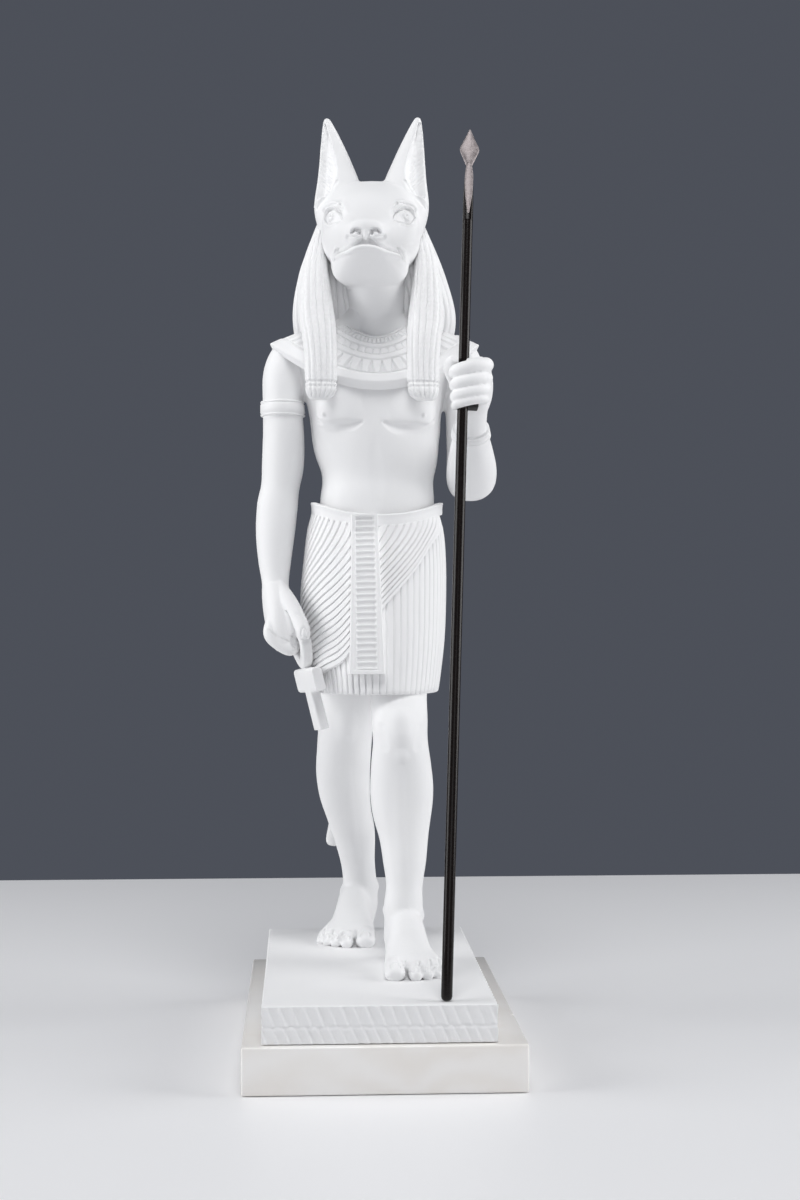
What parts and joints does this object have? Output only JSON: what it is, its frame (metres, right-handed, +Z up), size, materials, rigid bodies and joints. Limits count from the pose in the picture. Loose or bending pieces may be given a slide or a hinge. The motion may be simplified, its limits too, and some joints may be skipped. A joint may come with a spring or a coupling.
{
  "type": "anubis statue",
  "caption": "Striding jackal-headed figure in cast white marble on a chiselled plinth and a polished onyx block, with an ankh in one hand and a slim black metal spear in the other.",
  "frame": {"origin": "centre of the onyx block's underside", "axes": "+Z up, the figure faces -Y, its own left side and the spear are on +X"},
  "size_m": [0.109, 0.168, 0.3985],
  "materials": {
    "cast_marble": "fine matt cast marble powder",
    "onyx": "polished, pale, faintly veined",
    "black_metal": "gloss black lacquer, bare brushed head",
    "black_rubber": "matt"
  },
  "bodies": {
    "root": {"anubis_figure": "cast_marble", "stone_base": "onyx", "spear": "black_metal", "grip_sleeve": "black_rubber"}
  },
  "joints": []
}
